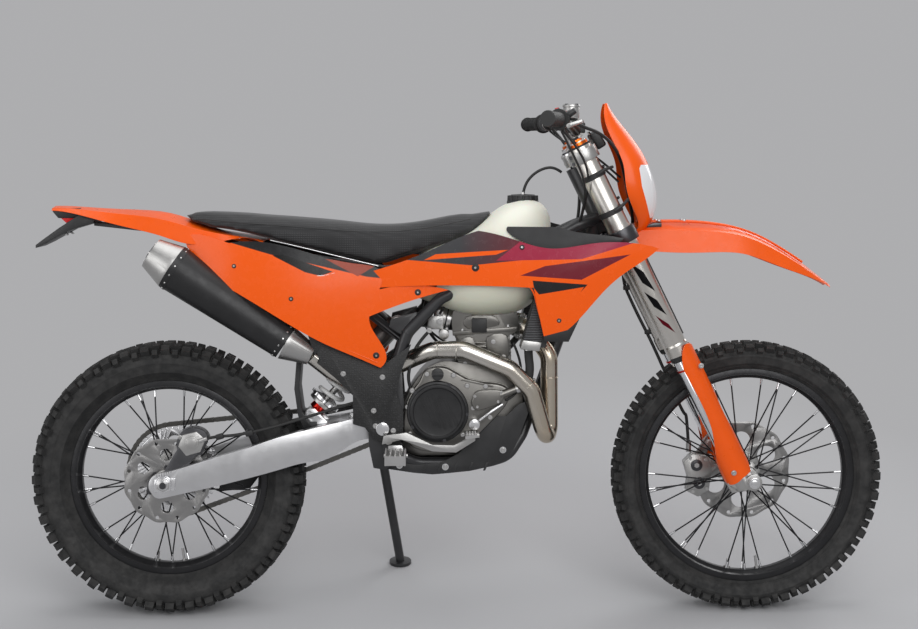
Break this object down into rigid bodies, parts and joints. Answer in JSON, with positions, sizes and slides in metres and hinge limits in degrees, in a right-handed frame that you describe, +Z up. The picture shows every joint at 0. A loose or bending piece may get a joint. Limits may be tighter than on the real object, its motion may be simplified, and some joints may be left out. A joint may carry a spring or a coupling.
{
  "type": "enduro motorcycle",
  "caption": "Off-road motorcycle on its side stand, with spoked wheels that turn, a steering fork and a folding stand.",
  "frame": {"origin": "floor point under the middle of the parked machine's bounding box, leaned on its side stand", "axes": "+X forward along the wheelbase, +Y to the rider's left, +Z up from the floor"},
  "size_m": [2.181, 0.8102, 1.3252],
  "materials": {
    "tyre_rubber": "matt black tyre rubber",
    "black_rim": "black anodised rim",
    "bright_metal": "silver cast and machined aluminium",
    "bright_steel": "stainless and plated steel",
    "frame_paint": "dark grey powder coat",
    "black_plastic": "black moulded plastic",
    "orange_plastic": "orange moulded plastic",
    "ivory_plastic": "ivory translucent tank plastic",
    "seat_cover": "black textured seat cover",
    "engine_alloy": "grey cast engine alloy",
    "dark_cover": "dark bronze grey engine cover",
    "silencer_black": "satin black coating",
    "chain_steel": "oiled chain steel",
    "spring_white": "white coated spring",
    "red_lens": "red tail lens",
    "white_lens": "pale headlight panel",
    "grip_rubber": "soft black rubber",
    "fork_bronze": "silver fork tube"
  },
  "bodies": {
    "chassis": {"subframe": "frame_paint", "frame_guards": "black_plastic", "swingarm": "bright_metal", "shock_body": "bright_metal", "shock_spring": "spring_white", "crankcase": "engine_alloy", "clutch_cover": "dark_cover", "exhaust_header": "bright_steel", "silencer": "silencer_black", "silencer_caps": "bright_metal", "rear_fender": "orange_plastic", "seat": "seat_cover", "fuel_tank": "ivory_plastic", "fuel_cap": "black_plastic", "radiators": "frame_paint", "shrouds": "orange_plastic", "shroud_edges": "black_plastic", "side_panels": "orange_plastic", "tail_light": "red_lens", "skid_plate": "black_plastic", "footpegs": "bright_steel", "rear_caliper": "frame_paint", "chassis_axles": "bright_steel", "engine_covers": "dark_cover", "cylinder": "engine_alloy", "intake": "black_plastic", "chain_drive": "chain_steel", "foot_levers": "bright_metal", "frame": "frame_paint", "rear_trim": "black_plastic"},
    "rear_wheel": {"rear_tyre": "tyre_rubber", "rear_rim": "black_rim", "rear_hub": "bright_metal", "rear_spokes": "bright_steel", "rear_disc": "bright_steel", "rear_sprocket": "bright_metal"},
    "front_wheel": {"front_tyre": "tyre_rubber", "front_rim": "black_rim", "front_hub": "bright_metal", "front_spokes": "bright_steel", "front_disc": "bright_steel"},
    "steering": {"fork_outer_tubes": "fork_bronze", "fork_inner_tubes": "bright_steel", "lower_clamp": "frame_paint", "upper_clamp": "bright_metal", "handlebar": "frame_paint", "fork_feet": "bright_metal", "fork_guards": "orange_plastic", "front_caliper": "bright_metal", "front_fender": "orange_plastic", "grips": "grip_rubber", "bar_controls": "bright_metal", "headlight_mask": "orange_plastic", "headlight_lens": "white_lens", "lamp_holder": "black_plastic"},
    "side_stand": {"side_stand": "frame_paint"}
  },
  "joints": [
    {"name": "rear_wheel_spin", "type": "hinge", "parent": "chassis", "child": "rear_wheel", "pos_m": [-0.7425, -0.15747, 0.34534], "axis": [-0.0002, 0.9848, -0.1736], "continuous": true},
    {"name": "steering", "type": "hinge", "parent": "chassis", "child": "steering", "pos_m": [0.38817, -0.05118, 0.94699], "axis": [-0.4422, 0.1557, 0.8833], "range_deg": [-42, 42]},
    {"name": "front_wheel_spin", "type": "hinge", "parent": "steering", "child": "front_wheel", "pos_m": [0.7425, -0.15747, 0.34383], "axis": [-0.0002, 0.9848, -0.1736], "continuous": true},
    {"name": "side_stand", "type": "hinge", "parent": "chassis", "child": "side_stand", "pos_m": [-0.2049, -0.02719, 0.36956], "axis": [-0.1394, 0.9895, -0.0392], "range_deg": [0, 108.3]}
  ]
}
